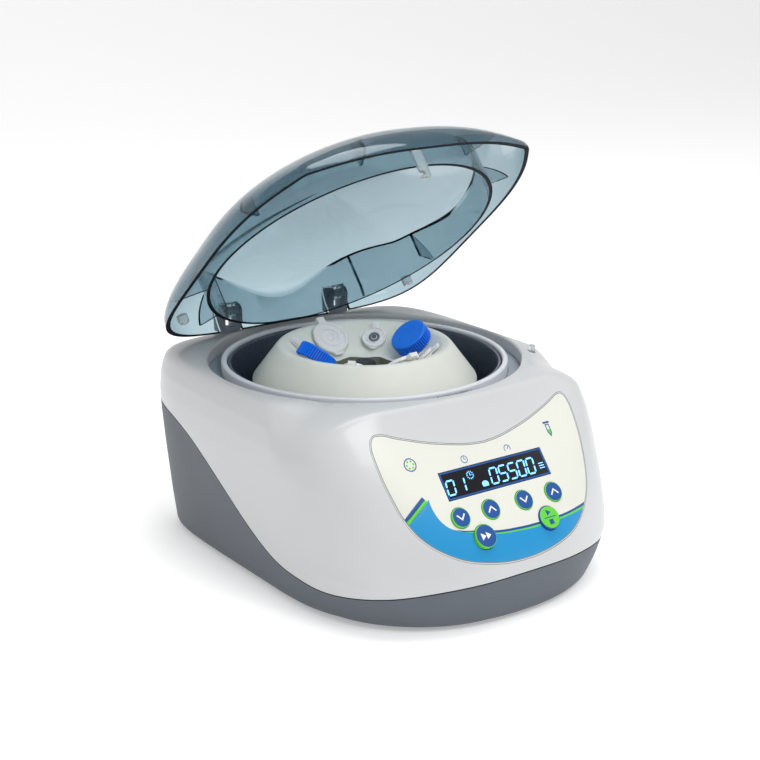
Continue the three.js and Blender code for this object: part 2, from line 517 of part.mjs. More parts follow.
// ---- rear power inlet and rocker switch ---------------------------------------------------
const blade = (x, z) => box(x - 1, x + 1, 83, backY - 1, z - 2, z + 2);
const inlet = box(INLET.x - INLET.w / 2, INLET.x + INLET.w / 2, 81, backY + 1, INLET.z
  - INLET.h / 2, INLET.z + INLET.h / 2)
  .add(box(INLET.x - 17, INLET.x + 17, backY + 0.9, backY + 2.9, INLET.z - 12, INLET.z + 12))
  .subtract(box(INLET.x - 11.5, INLET.x + 11.5, 83.5, backY + 5, INLET.z - 7.5, INLET.z + 7.5))
  .add(blade(INLET.x - 6, INLET.z - 1.5)).add(blade(INLET.x + 6, INLET.z - 1.5))
  .add(blade(INLET.x, INLET.z + 2.5));
addMesh(machine, 'power_inlet', inlet, COLOURS.black, 0.5);
const frameOut = box(SWITCH.x - SWITCH.w / 2, SWITCH.x + SWITCH.w / 2, 82, backY + 1,
  SWITCH.z - SWITCH.h / 2, SWITCH.z + SWITCH.h / 2)
  .add(box(SWITCH.x - 8.5, SWITCH.x + 8.5, backY + 0.9, backY + 2.5, SWITCH.z - 12,
    SWITCH.z + 12))
  .subtract(box(SWITCH.x - 5.2, SWITCH.x + 5.2, 84, backY + 5, SWITCH.z - 8.8,
    SWITCH.z + 8.8));
addMesh(machine, 'switch_frame', frameOut, COLOURS.black, 0.5);
const rocker = slab([[backY - 5, SWITCH.z - 4], [backY - 1.5, SWITCH.z - 7.4],
  [backY + 1.6, SWITCH.z - 7.8], [backY + 2.4, SWITCH.z], [backY + 4.4, SWITCH.z + 7],
  [backY - 1, SWITCH.z + 7], [backY - 5, SWITCH.z + 4]], SWITCH.x - 4.9, SWITCH.x + 4.9);
addMesh(machine, 'power_rocker', rocker, COLOURS.black, 0.4);

const centrifuge = new THREE.Group();
centrifuge.name = 'centrifuge';
centrifuge.add(machine);
export default centrifuge;
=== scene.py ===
# Looks of a benchtop laboratory centrifuge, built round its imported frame. Shapes are laid out in
# millimetres in the machine's own frame (base at z = 0, rotor axis at y = 6) and moved to metres.
import math

import bmesh
import bpy
import numpy as np
from mathutils import Matrix, Vector
from mathutils.geometry import delaunay_2d_cdt


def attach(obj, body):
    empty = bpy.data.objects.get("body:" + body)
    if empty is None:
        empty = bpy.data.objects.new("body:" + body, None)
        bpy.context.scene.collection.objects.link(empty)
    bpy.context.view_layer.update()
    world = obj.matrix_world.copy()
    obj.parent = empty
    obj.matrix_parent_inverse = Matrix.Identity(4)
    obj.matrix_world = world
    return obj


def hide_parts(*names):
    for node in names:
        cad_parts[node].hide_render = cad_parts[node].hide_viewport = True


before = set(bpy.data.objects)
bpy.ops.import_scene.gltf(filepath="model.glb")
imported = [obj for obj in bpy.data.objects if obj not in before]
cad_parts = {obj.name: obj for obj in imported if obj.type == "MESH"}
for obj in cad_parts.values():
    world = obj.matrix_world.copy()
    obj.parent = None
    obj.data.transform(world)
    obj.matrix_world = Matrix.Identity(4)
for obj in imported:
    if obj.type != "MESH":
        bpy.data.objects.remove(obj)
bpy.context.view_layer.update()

# ---- sizes, as in the frame ---------------------------------------------------------------
SHIFT = Vector((0, 17.575, 2))
DECK_Z = 103.8
GAP = 0.3
PLAN_Y = -40
BOWL_Y = 6
HOLE_R = 87.2
RING_OUT, RING_IN = 79.8, 76.6
GROOVE_Z = 96.4
PHI = math.atan(1.22)
SIN_P, COS_P = math.sin(PHI), math.cos(PHI)
PANEL_O = Vector((0, -105.5, 74.2))
TILT = math.atan(0.843)
HINGE = Vector((0, 92, 115))
OPEN = math.radians(-40.6)
RIM_Z = 104.3
# Down-facing lid faces below this height are painted near-black: painted shade for the
# dark-looking rim edge
PAINTED_RIM_SHADE_Z = 105.4
CORNER_ANGLE, CORNER_REACH, CORNER_SPREAD = math.radians(41.4), 0.055, 0.16
WELL_R, WELL_TURN = 21.9, 0.17
CAP_RIBS = 46
HALF_WIDTH = [(0, 88.5), (20, 91), (50, 93.8), (70, 95.3), (82, 95.6), (92, 94.6), (98, 92.8),
              (104, 90.4)]
REACH_FRONT = [(0, 93.5), (12, 95), (26, 96.5), (34, 97), (104, 97)]
REACH_BACK = [(0, 135), (80, 138.5), (95, 138), (104, 136)]
FRONT_POWER = [(0, 2.3), (24, 3), (60, 2.7), (104, 2.6)]
SEAM = [(-150, 24), (-135, 23), (-118, 19.4), (-94, 15.6), (-78, 14.6), (-63, 15.8), (-46, 18),
        (-30, 23.6), (-12, 33.6), (4, 44.3), (21, 55.4), (38, 65), (55, 71.2), (74, 74.6),
        (95, 77.4), (150, 82)]
KEYS = [("time_down", -32, -24.8, 5.3), ("time_up", -12.8, -24.8, 5.3),
        ("speed_down", 8.9, -24.8, 5.3), ("speed_up", 28.7, -24.8, 5.3),
        ("quick", -22.3, -37.1, 6.2), ("start_stop", 19.5, -37.1, 6.2)]
WINDOW = (-34.7, 32.5, -15.5, 0)


# ---- plain maths --------------------------------------------------------------------------
def srgb(r, g, b):
    return tuple(((c / 255 + 0.055) / 1.055) ** 2.4 if c > 10 else c / 3294 for c in (r, g, b))


def step(a, b, v):
    t = np.clip((v - a) / (b - a), 0, 1)
    return t * t * (3 - 2 * t)


def smax(a, b, k):
    h = np.maximum(k - np.abs(a - b), 0) / k
    return np.maximum(a, b) + h * h * k / 4


def smin(a, b, k):
    return -smax(-a, -b, k)


def along(table, v):
    return np.interp(v, [p[0] for p in table], [p[1] for p in table])


def spline(points, count):
    """Even Catmull-Rom curve through the points, with count steps between two of them."""
    p = np.array(points, float)
    out = []
    for i in range(len(p) - 1):
        a, b = p[max(i - 1, 0)], p[i]
        c, d = p[i + 1], p[min(i + 2, len(p) - 1)]
        for k in range(count):
            t = k / count
            out.append(0.5 * (2 * b + (c - a) * t + (2 * a - 5 * b + 4 * c - d) * t * t
                              + (3 * b - a - 3 * c + d) * t ** 3))
    return [tuple(q) for q in out] + [tuple(p[-1])]


def soft(points, size, steps=4, closed=False):
    """Rounds the corners of a polyline by quadratic curves that start size before each corner."""
    p = [Vector(q) for q in points]
    n = len(p)
    out = []
    for i in range(n):
        if not closed and i in (0, n - 1):
            out.append(p[i])
            continue
        a, b, c = p[i - 1], p[i], p[(i + 1) % n]
        near = b + (a - b) * min(0.48, size / max((a - b).length, 1e-6))
        far = b + (c - b) * min(0.48, size / max((c - b).length, 1e-6))
        for k in range(steps + 1):
            t = k / steps
            out.append(near * (1 - t) ** 2 + b * 2 * t * (1 - t) + far * t * t)
    return [tuple(q) for q in out]


def circle(r, count, x=0, y=0, start=0):
    turn = [start + 2 * math.pi * i / count for i in range(count)]
    return [(x + r * math.cos(a), y + r * math.sin(a)) for a in turn]


def on_panel():
    return Matrix.Translation(PANEL_O) @ Matrix.Rotation(PHI, 4, "X")


def opened():
    return Matrix.Translation(HINGE) @ Matrix.Rotation(OPEN, 4, "X") @ Matrix.Translation(-HINGE)


# ---- mesh helpers -------------------------------------------------------------------------
def solid(verts, faces, merge=1e-5):
    mesh = bpy.data.meshes.new("solid")
    mesh.from_pydata([tuple(map(float, v)) for v in verts], [], faces)
    bm = bmesh.new()
    bm.from_mesh(mesh)
    bmesh.ops.remove_doubles(bm, verts=bm.verts, dist=merge)
    bmesh.ops.recalc_face_normals(bm, faces=bm.faces)
    bm.to_mesh(mesh)
    bm.free()
    ob = bpy.data.objects.new("solid", mesh)
    bpy.context.scene.collection.objects.link(ob)
    return ob


def combine(ob, tools, operation):
    for tool in tools:
        mod = ob.modifiers.new("cut", "BOOLEAN")
        mod.solver = "MANIFOLD"
        mod.operation = operation
        mod.object = tool
    bpy.context.view_layer.update()
    graph = bpy.context.evaluated_depsgraph_get()
    mesh = bpy.data.meshes.new_from_object(ob.evaluated_get(graph))
    ob.modifiers.clear()
    ob.data = mesh
    for tool in tools:
        bpy.data.objects.remove(tool)
    return ob


def cut(ob, *tools):
    return combine(ob, tools, "DIFFERENCE")


def add(ob, *tools):
    return combine(ob, tools, "UNION")


def keep(ob, *tools):
    return combine(ob, tools, "INTERSECT")


def move(ob, matrix):
    ob.data.transform(matrix)
    return ob


def join(*obs):
    """Puts several closed bodies in one object, side by side, with their materials."""
    bm = bmesh.new()
    mats = []
    for ob in obs:
        start = len(bm.faces)
        bm.from_mesh(ob.data)
        bm.faces.ensure_lookup_table()
        slots = [m for m in ob.data.materials] or [None]
        for m in slots:
            if m not in mats:
                mats.append(m)
        for f in bm.faces[start:]:
            f.material_index = mats.index(slots[min(f.material_index, len(slots) - 1)])
    mesh = bpy.data.meshes.new("joined")
    bm.to_mesh(mesh)
    bm.free()
    for m in mats:
        mesh.materials.append(m)
    for ob in obs[1:]:
        bpy.data.objects.remove(ob)
    obs[0].data = mesh
    return obs[0]


def lathe(profile, segments=96, x=0, y=0):
    """Turns (radius, height) points round Z. The line starts and ends on the axis or closes."""
    closed = profile[0] == profile[-1]
    line = profile[:-1] if closed else profile
    verts, rows = [], []
    for r, z in line:
        if r < 1e-6:
            rows.append([len(verts)] * segments)
            verts.append((x, y, z))
        else:
            rows.append(list(range(len(verts), len(verts) + segments)))
            verts += [(px, py, z) for px, py in circle(r, segments, x, y)]
    pairs = list(zip(rows, rows[1:])) + ([(rows[-1], rows[0])] if closed else [])
    faces = []
    for low, high in pairs:
        for j in range(segments):
            k = (j + 1) % segments
            quad = [low[j], low[k], high[k], high[j]]
            face = [v for i, v in enumerate(quad) if v != quad[i - 1]]
            if len(face) > 2:
                faces.append(face)
    return solid(verts, faces)


def turned(points, segments=96, x=0, y=0, size=0.35):
    """A lathe whose corners off the axis are rounded."""
    if points[0] == points[-1]:
        ring = soft(points[:-1], size, 4, closed=True)
        return lathe(ring + [ring[0]], segments, x, y)
    return lathe(soft(points, size, 4), segments, x, y)


def prism(outline, z0, z1):
    n = len(outline)
    verts = [(x, y, z0) for x, y in outline] + [(x, y, z1) for x, y in outline]
    faces = [list(range(n))[::-1], list(range(n, 2 * n))]
    faces += [[i, (i + 1) % n, n + (i + 1) % n, n + i] for i in range(n)]
    return solid(verts, faces)


def slab(outline, x0, x1):
    """An outline in y and z made thick along x."""
    n = len(outline)
    verts = [(x0, y, z) for y, z in outline] + [(x1, y, z) for y, z in outline]
    faces = [list(range(n))[::-1], list(range(n, 2 * n))]
    faces += [[i, (i + 1) % n, n + (i + 1) % n, n + i] for i in range(n)]
    return solid(verts, faces)


def rounded(ob, width, segments=3, angle=30):
    """Bevels every edge sharper than the angle."""
    bm = bmesh.new()
    bm.from_mesh(ob.data)
    bmesh.ops.dissolve_limit(bm, angle_limit=math.radians(1), verts=bm.verts, edges=bm.edges)
    sharp = [e for e in bm.edges if len(e.link_faces) == 2
             and e.calc_face_angle(0) > math.radians(angle)]
    bmesh.ops.bevel(bm, geom=sharp, offset=width, segments=segments, profile=0.5,
                    affect="EDGES", clamp_overlap=True)
    bm.to_mesh(ob.data)
    bm.free()
    return ob


def box(x0, x1, y0, y1, z0, z1, width=0):
    ob = prism([(x0, y0), (x1, y0), (x1, y1), (x0, y1)], z0, z1)
    return rounded(ob, width) if width else ob


def finish_piece(ob, name, body, materials, nodes=(), angle=35, triangles=False):
    """Names a piece, moves it to metres, shades it smooth and hangs it on its body."""
    ob.data.transform(Matrix.Scale(0.001, 4) @ Matrix.Translation(SHIFT))
    if materials:
        ob.data.materials.clear()
        for m in materials:
            ob.data.materials.append(m)
    if triangles:
        bm = bmesh.new()
        bm.from_mesh(ob.data)
        bmesh.ops.triangulate(bm, faces=bm.faces)
        bm.to_mesh(ob.data)
        bm.free()
    ob.data.polygons.foreach_set("use_smooth", [True] * len(ob.data.polygons))
    ob.data.set_sharp_from_angle(angle=math.radians(angle))
    ob.name = ob.data.name = name
    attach(ob, body)
    if nodes:
        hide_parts(*nodes)
    return ob


# ---- materials ----------------------------------------------------------------------------
def shader(name):
    mat = bpy.data.materials.new(name)
    mat.use_nodes = True
    nodes, links = mat.node_tree.nodes, mat.node_tree.links
    return mat, nodes, links, nodes["Principled BSDF"]


def noise(nodes, links, scale, detail=4, stretch=None):
    """Noise in the part's own metres."""
    place = nodes.new("ShaderNodeTexCoord")
    tex = nodes.new("ShaderNodeTexNoise")
    tex.inputs["Scale"].default_value = scale
    tex.inputs["Detail"].default_value = detail
    if stretch:
        mapping = nodes.new("ShaderNodeMapping")
        mapping.inputs["Scale"].default_value = stretch
        links.new(place.outputs["Object"], mapping.inputs["Vector"])
        links.new(mapping.outputs["Vector"], tex.inputs["Vector"])
    else:
        links.new(place.outputs["Object"], tex.inputs["Vector"])
    return tex


def tone(nodes, links, source, colour, spread, target):
    """Lets a colour wander a little either way with the noise."""
    ramp = nodes.new("ShaderNodeValToRGB")
    ramp.color_ramp.elements[0].position = 0.3
    ramp.color_ramp.elements[1].position = 0.7
    ramp.color_ramp.elements[0].color = (*[c * (1 - spread) for c in colour], 1)
    ramp.color_ramp.elements[1].color = (*[min(1, c * (1 + spread)) for c in colour], 1)
    links.new(source.outputs["Fac"], ramp.inputs["Fac"])
    links.new(ramp.outputs["Color"], target)


def vary(nodes, links, source, low, high, target):
    span = nodes.new("ShaderNodeMapRange")
    span.inputs["From Min"].default_value = 0.3
    span.inputs["From Max"].default_value = 0.7
    span.inputs["To Min"].default_value = low
    span.inputs["To Max"].default_value = high
    links.new(source.outputs["Fac"], span.inputs["Value"])
    links.new(span.outputs["Result"], target)


def grain(nodes, links, source, strength, distance, target):
    bump = nodes.new("ShaderNodeBump")
    bump.inputs["Strength"].default_value = strength
    bump.inputs["Distance"].default_value = distance
    links.new(source.outputs["Fac"], bump.inputs["Height"])
    links.new(bump.outputs["Normal"], target)


def plastic(name, colour, rough, spread=0.03, size=0.6, depth=0.00002, strength=0.25,
            patch=30, metal=0, coat=0, stretch=None, **sockets):
    """Moulded plastic or metal: faint colour patches, uneven gloss and a fine surface grain.
    size is the grain in mm."""
    mat, nodes, links, bsdf = shader(name)
    broad = noise(nodes, links, patch, 3)
    fine = noise(nodes, links, 1000 / size, 6, stretch)
    tone(nodes, links, broad, colour, spread, bsdf.inputs["Base Color"])
    vary(nodes, links, fine, rough * 0.85, min(1, rough * 1.15), bsdf.inputs["Roughness"])
    grain(nodes, links, fine, strength, depth, bsdf.inputs["Normal"])
    bsdf.inputs["Metallic"].default_value = metal
    bsdf.inputs["Coat Weight"].default_value = coat
    bsdf.inputs["Coat Roughness"].default_value = 0.15
    for socket, value in sockets.items():
        bsdf.inputs[socket.replace("_", " ")].default_value = value
    return mat


def smoke_plastic():
    """Smoke-tinted clear plastic: the tint is in the depth, so edges read dark."""
    mat = plastic("smoke_clear", (0.91, 0.95, 0.96), 0.04, 0.01, 3, 0.000004, 0.1,
                  Transmission_Weight=1.0, IOR=1.49)
    nodes, links = mat.node_tree.nodes, mat.node_tree.links
    tint = nodes.new("ShaderNodeVolumeAbsorption")
    tint.inputs["Color"].default_value = (0.1, 0.34, 0.44, 1)
    tint.inputs["Density"].default_value = 330
    links.new(tint.outputs["Volume"], nodes["Material Output"].inputs["Volume"])
    return mat


def milky(name, colour, rough=0.3, weight=0.55):
    return plastic(name, colour, rough, 0.03, 1.5, 0.00002, 0.2, 60,
                   Transmission_Weight=weight, IOR=1.45, Subsurface_Weight=0.2,
                   Subsurface_Radius=(0.004, 0.004, 0.004), Subsurface_Scale=1.0)


def glow(name, colour, power):
    mat = plastic(name, colour, 0.4, 0.05, 0.5)
    bsdf = mat.node_tree.nodes["Principled BSDF"]
    bsdf.inputs["Emission Color"].default_value = (*colour, 1)
    bsdf.inputs["Emission Strength"].default_value = power
    return mat


M = {
    "white": plastic("shell_white", srgb(201, 203, 204), 0.32, 0.012, 0.9, 0.00001, 0.12, 18,
                     coat=0.15),
    "grey": plastic("base_grey", srgb(88, 95, 103), 0.55, 0.05, 0.45, 0.00006, 0.4, 25),
    "ring": plastic("ring_grey", srgb(222, 225, 231), 0.35, 0.02, 0.8, 0.00001, 0.15, 40),
    "groove": plastic("groove_grey", srgb(150, 157, 168), 0.5, 0.04, 0.6),
    "bowl": plastic("bowl_dark", srgb(66, 76, 92), 0.3, 0.06, 0.7, 0.00001, 0.15, 30, coat=0.2),
    "rotor": plastic("rotor_grey", srgb(234, 237, 228), 0.5, 0.03, 0.5, 0.00002, 0.25, 40),
    # Darker olive grey for the rotor's central well: painted shade in the recess; the casting
    # itself is one colour
    "well": plastic("rotor_well_painted_shade", srgb(132, 136, 122), 0.55, 0.05, 0.6, 0.00002, 0.25, 60),
    "smoke": smoke_plastic(),
    # Near-black for the lid's down-facing rim faces: painted shade standing in for the dark look
    # of the clear plastic's edge
    "edge": plastic("smoke_rim_painted_shade", srgb(20, 26, 32), 0.7, 0.1, 1.0,
                    Specular_IOR_Level=0.1),
    "clear": milky("clear_peg", srgb(232, 238, 240), 0.15, 0.8),
    "tube": milky("tube_milky", srgb(252, 253, 253), 0.3, 0.08),
    "tube_dark": plastic("tube_mark", srgb(96, 104, 116), 0.4, 0.1, 0.6),
    "blue": plastic("cap_blue", srgb(14, 126, 255), 0.34, 0.05, 0.7, 0.00002, 0.2, 50,
                    Subsurface_Weight=0.1, Subsurface_Radius=(0.001, 0.001, 0.003)),
    # Darker blue for the valleys between the screw cap's ribs: painted shade between the ribs
    "blue_rib_shade": plastic("cap_blue_painted_shade", srgb(4, 62, 168), 0.4, 0.05, 0.7),
    "cream": plastic("label_cream", srgb(222, 223, 213), 0.42, 0.01, 0.5, 0.00001, 0.15, 30),
    "line": plastic("label_line", srgb(120, 126, 140), 0.45, 0.03, 0.5),
    "sky": plastic("label_blue", srgb(14, 142, 200), 0.42, 0.02, 0.5, 0.00001, 0.15, 40),
    "navy": plastic("print_navy", srgb(14, 76, 148), 0.42, 0.04, 0.5, 0.00001, 0.15, 60),
    "green": plastic("print_green", srgb(96, 204, 50), 0.42, 0.04, 0.5, 0.00001, 0.15, 60),
    "ink": plastic("print_white", srgb(238, 242, 246), 0.45, 0.02, 0.5),
    "screen": plastic("screen_black", srgb(6, 7, 16), 0.12, 0.2, 2, 0.000002, 0.05),
    "lit": glow("screen_digit", srgb(116, 190, 255), 1.4),
    "black": plastic("black_plastic", srgb(30, 31, 34), 0.45, 0.12, 0.5, 0.00003, 0.35),
    "rubber": plastic("rubber", srgb(34, 35, 38), 0.85, 0.15, 0.4, 0.00005, 0.5),
    "steel": plastic("steel", srgb(190, 193, 196), 0.3, 0.06, 0.8, 0.00001, 0.3, 80, metal=1,
                     stretch=(1, 1, 0.05)),
    "coil": plastic("coil_copper", srgb(150, 104, 62), 0.4, 0.12, 0.4, 0.00005, 0.5, metal=0.6),
    "board": plastic("board_green", srgb(30, 104, 56), 0.4, 0.1, 0.8),
    "floor": plastic("floor_white", srgb(240, 240, 240), 0.8, 0.004, 20,
                     Emission_Color=(1, 1, 1, 1), Emission_Strength=0.3),
}


# ---- moulded body -------------------------------------------------------------------------
def body_field(x, y, z):
    """Below 0 inside the body, about mm outside it."""
    width = along(HALF_WIDTH, z)
    front = y < PLAN_Y
    reach = np.where(front, along(REACH_FRONT, z), along(REACH_BACK, z))
    n = np.where(front, along(FRONT_POWER, z), 7.0)
    plan = ((np.abs(x) / width) ** n + (np.abs(y - PLAN_Y) / reach) ** n) ** (1 / n)
    side = width * (plan - 1)
    panel = -(y - PANEL_O.y) * SIN_P + (z - PANEL_O.z) * COS_P
    brow = np.hypot(x, y - 129.5) - 216 - (104 - z) * 0.25
    top = smax(smin(panel, brow, 9), z - DECK_Z, 2.5)
    corner = 12 + 22 * step(20, 70, np.abs(x)) * step(-30, -60, y) - 7 * step(-60, -30, y)
    return smax(smax(side, top, corner), -z, 3)


def cast(start, ends, inset):
    """Where lines from start towards the ends meet the skin that lies inset under the body."""
    lo, hi = np.zeros(len(ends)), np.full(len(ends), 2.0)
    way = ends - start
    for _ in range(34):
        t = (lo + hi) / 2
        p = start + way * t[:, None]
        inside = body_field(*p.T) + inset < 0
        lo, hi = np.where(inside, t, lo), np.where(inside, hi, t)
    return start + way * lo[:, None]


def body_skin(inset, cols, heights):
    rows = [(0.5, 0.0), (0.8, 0.0), (0.93, 0.0), (0.985, 0.0)] + [(1.0, z) for z in heights]
    rows += [(s, 104.0) for s in (0.99, 0.975, 0.955, 0.93, 0.9, 0.86, 0.82)]
    ends = [(0, -10, 0)]
    for scale, z in rows:
        edge = -137 if z < 36 else min(-86.5, PANEL_O.y + (z - PANEL_O.z) / 1.22)
        a = np.arange(cols) * 2 * math.pi / cols
        c, s = np.cos(a), np.sin(a)
        n = np.where(s < 0, 3.0, 7.0)
        r = scale / ((np.abs(c) ** n + np.abs(s) ** n) ** (1 / n))
        reach = np.where(s < 0, PLAN_Y - edge, 137.0)
        ends += list(zip(r * c * along(HALF_WIDTH, z), PLAN_Y + r * s * reach, [z] * cols))
    ends.append((0, -10, 104))
    verts = cast(np.array((0.0, -10, 52)), np.array(ends), inset)
    last = len(verts) - 1
    faces = []
    for j in range(cols):
        k = (j + 1) % cols
        faces += [[0, 1 + k, 1 + j], [last, last - cols + j, last - cols + k]]
        for i in range(len(rows) - 1):
            a, b = 1 + i * cols + j, 1 + i * cols + k
            faces.append([a, b, b + cols, a + cols])
    return solid(verts, faces)


FINE = [1, 2.5] + list(np.arange(4, 96, 1.25)) + list(np.arange(96, 104, 0.5))
COARSE = [4, 12, 24, 36, 46, 56, 66, 76, 86, 94, 99, 102]


def below(rise):
    line = [(y, z + rise) for y, z in spline(SEAM, 12)]
    return slab([(-150, -10)] + line + [(150, -10)], -120, 120)


def walls():
    return cut(body_skin(0, 300, FINE), body_skin(3, 120, COARSE))


def label_outline(grow=0.0, count=12):
    half = [(12, 11.4), (31, 16), (48, 22), (57, 26), (62.5, 26), (65.2, 20), (65, 7.5),
            (63.6, -3), (60.3, -17), (54.5, -29), (45, -39.4), (33, -47), (17, -51.6)]
    pts = [(0, 10.2)] + half + [(0, -53)] + [(-x, s) for x, s in reversed(half)] + [(0, 10.2)]
    line = spline(pts, count)[:-1]
    out = []
    for i, (x, s) in enumerate(line):
        (ax, ay), (bx, by) = line[i - 1], line[(i + 1) % len(line)]
        length = math.hypot(bx - ax, by - ay)
        out.append((x - grow * (by - ay) / length, s + grow * (bx - ax) / length))
    return out


def base_shell():
    ob = keep(walls(), below(-0.45))
    for x, y in ((-66, 70), (66, 70), (-58, -84), (58, -84)):
        ob = add(ob, lathe([(0, 1), (9.6, 1), (9.6, 4.5), (0, 4.5)], 48, x, y))
        ob = cut(ob, lathe([(0, -1), (7.8, -1), (7.8, 1.2), (0, 1.2)], 48, x, y))
    for x, w in ((-48, 27), (44, 13)):
        ob = cut(ob, box(x - w / 2 - GAP, x + w / 2 + GAP, 85, 110, 34 - 10.05, 34 + 10.05))
    finish_piece(ob, "base_moulding", "housing", [M["grey"]], ["base_shell"])


def upper_shell():
    ob = cut(walls(), below(0.25))
    ob = add(ob, lathe([(0, GROOVE_Z - 2.9), (HOLE_R + 2.4, GROOVE_Z - 2.9),
                        (HOLE_R + 2.4, DECK_Z - 1), (0, DECK_Z - 1)], 240, 0, BOWL_Y))
    flare = [(HOLE_R + 1.6 * (1 - math.cos(a)), DECK_Z - 1.6 + 1.6 * math.sin(a))
             for a in np.linspace(0, math.pi / 2, 8)]
    ob = cut(ob, lathe([(0, 80), (HOLE_R, 80)] + flare + [(HOLE_R + 1.6, 110), (0, 110)], 240,
                       0, BOWL_Y))
    recess = move(prism(label_outline(GAP), -14, 14), on_panel())
    ob = cut(ob, cut(recess, body_skin(1.1, 240, FINE[::2])))
    holes = [box(WINDOW[0], WINDOW[1], WINDOW[2], WINDOW[3], -20, 12)]
    holes += [prism(circle(r + GAP, 48, x, s), -20, 12) for _, x, s, r in KEYS]
    ob = cut(ob, *[move(h, on_panel()) for h in holes])
    ob = cut(ob, lathe([(0, 90), (2.1, 90), (2.1, 103), (3, 104.5), (0, 104.5)], 32, 80.5, -43))
    finish_piece(ob, "top_moulding", "housing", [M["white"]], ["upper_shell"])


# ---- printed label ------------------------------------------------------------------------
def lift(points, inset):
    """Puts (x, s) panel points on the body's skin, inset under it."""
    p = np.array(points, float)
    base = np.array(PANEL_O) + np.outer(p[:, 0], (1, 0, 0)) + np.outer(p[:, 1], (0, COS_P, SIN_P))
    up = np.array((0, -SIN_P, COS_P))
    lo, hi = np.full(len(p), -16.0), np.full(len(p), 5.0)
    for _ in range(34):
        t = (lo + hi) / 2
        inside = body_field(*(base + up * t[:, None]).T) + inset < 0
        lo, hi = np.where(inside, t, lo), np.where(inside, hi, t)
    return base + up * lo[:, None]


def within(point, loop):
    x, y = point
    inside = False
    for (ax, ay), (bx, by) in zip(loop, loop[1:] + loop[:1]):
        if (ay > y) != (by > y) and x < (bx - ax) * (y - ay) / (by - ay) + ax:
            inside = not inside
    return inside


def bar(x0, y0, x1, y1, w):
    """A straight stroke as a four-cornered outline."""
    d = Vector((x1 - x0, y1 - y0)).normalized() * (w / 2)
    return [(x0 - d.x - d.y, y0 - d.y + d.x), (x0 - d.x + d.y, y0 - d.y - d.x),
            (x1 + d.x + d.y, y1 + d.y - d.x), (x1 + d.x - d.y, y1 + d.y + d.x)]


def ring_strokes(x, y, r, w, colour, ground):
    return [(circle(r, 28, x, y), colour), (circle(r - w, 28, x, y), ground)]


def label_art():
    """Printed areas as (outline, material number); later ones lie over earlier ones."""
    low = [(-24, -35), (-13.2, -37.8), (-0.7, -39.1), (11.1, -39.7), (26.6, -39.2),
           (40, -37.6), (52.1, -35.1), (66, -31.2)]
    mid = [(-33, -31.9), (-27.6, -33.3), (-14.1, -37), (-0.4, -38.4), (11.5, -38.8),
           (27, -38.3), (40, -36.6), (52.7, -33.8), (66, -29.6)]
    high = [(-38, -29.2), (-33, -31.2), (-28.4, -32.4), (-13.6, -35.8), (0.2, -37.2),
            (12, -37.6), (27.4, -37.1), (40, -35.4), (53.4, -32.3), (66, -28)]
    swell = [(-45.4, -11.6), (-45.3, -15.5), (-44.2, -20.5), (-42.4, -24.5), (-39.8, -27.8),
             (-36.4, -30.2), (-32, -32.2), (-27.6, -33.6)]
    low, mid, high, swell = [spline(p, 5) for p in (low, mid, high, swell)]
    art = [([(-66, -25), (-55.3, -17.9)] + swell + low + [(70, -60), (-66, -60)], 2)]
    art.append((mid + low[::-1], 4))
    art.append((high + mid[::-1], 3))
    art.append(([(-66, -21.2), (-48.3, -9.4), (-47.2, -11.2), (-66, -23.1)], 3))
    art.append(([(-66, -23.1), (-47.2, -11.2), (-46.2, -12.7), (-66, -24.9)], 4))
    # clock over the minutes, dial over the speed
    art += ring_strokes(-15.9, 3.6, 2.1, 0.45, 3, 0)
    art += [(bar(-15.9, 3.6, -15.9, 4.9, 0.4), 3), (bar(-15.9, 3.6, -15, 3.6, 0.4), 3)]
    art += ring_strokes(12.3, 3.6, 2.1, 0.45, 3, 0)
    art += [([(9, 1), (15, 1), (15, 2.5), (9, 2.5)], 0), (bar(12.3, 3.4, 13.2, 4.6, 0.4), 3)]
    # a rotor seen from above on the left, a tube on the right
    art += ring_strokes(-48, 7.6, 3.6, 0.6, 3, 0)
    art += [(circle(0.62, 12, -48 + 2 * math.cos(a), 7.6 + 2 * math.sin(a)), 4)
            for a in np.arange(0, 2 * math.pi, math.pi / 3)]
    tube = [(43, 3.6), (44.4, 6.4), (44.4, 11), (41.6, 11), (41.6, 6.4)]
    art += [(tube, 3), ([(43, 4.9), (43.8, 6.7), (43.8, 10.4), (42.2, 10.4), (42.2, 6.7)], 0)]
    art += [([(43, 4.9), (43.8, 6.7), (43.8, 8), (42.2, 8), (42.2, 6.7)], 4),
            ([(40.9, 11.4), (45.1, 11.4), (45.1, 12.5), (40.9, 12.5)], 3)]
    return art


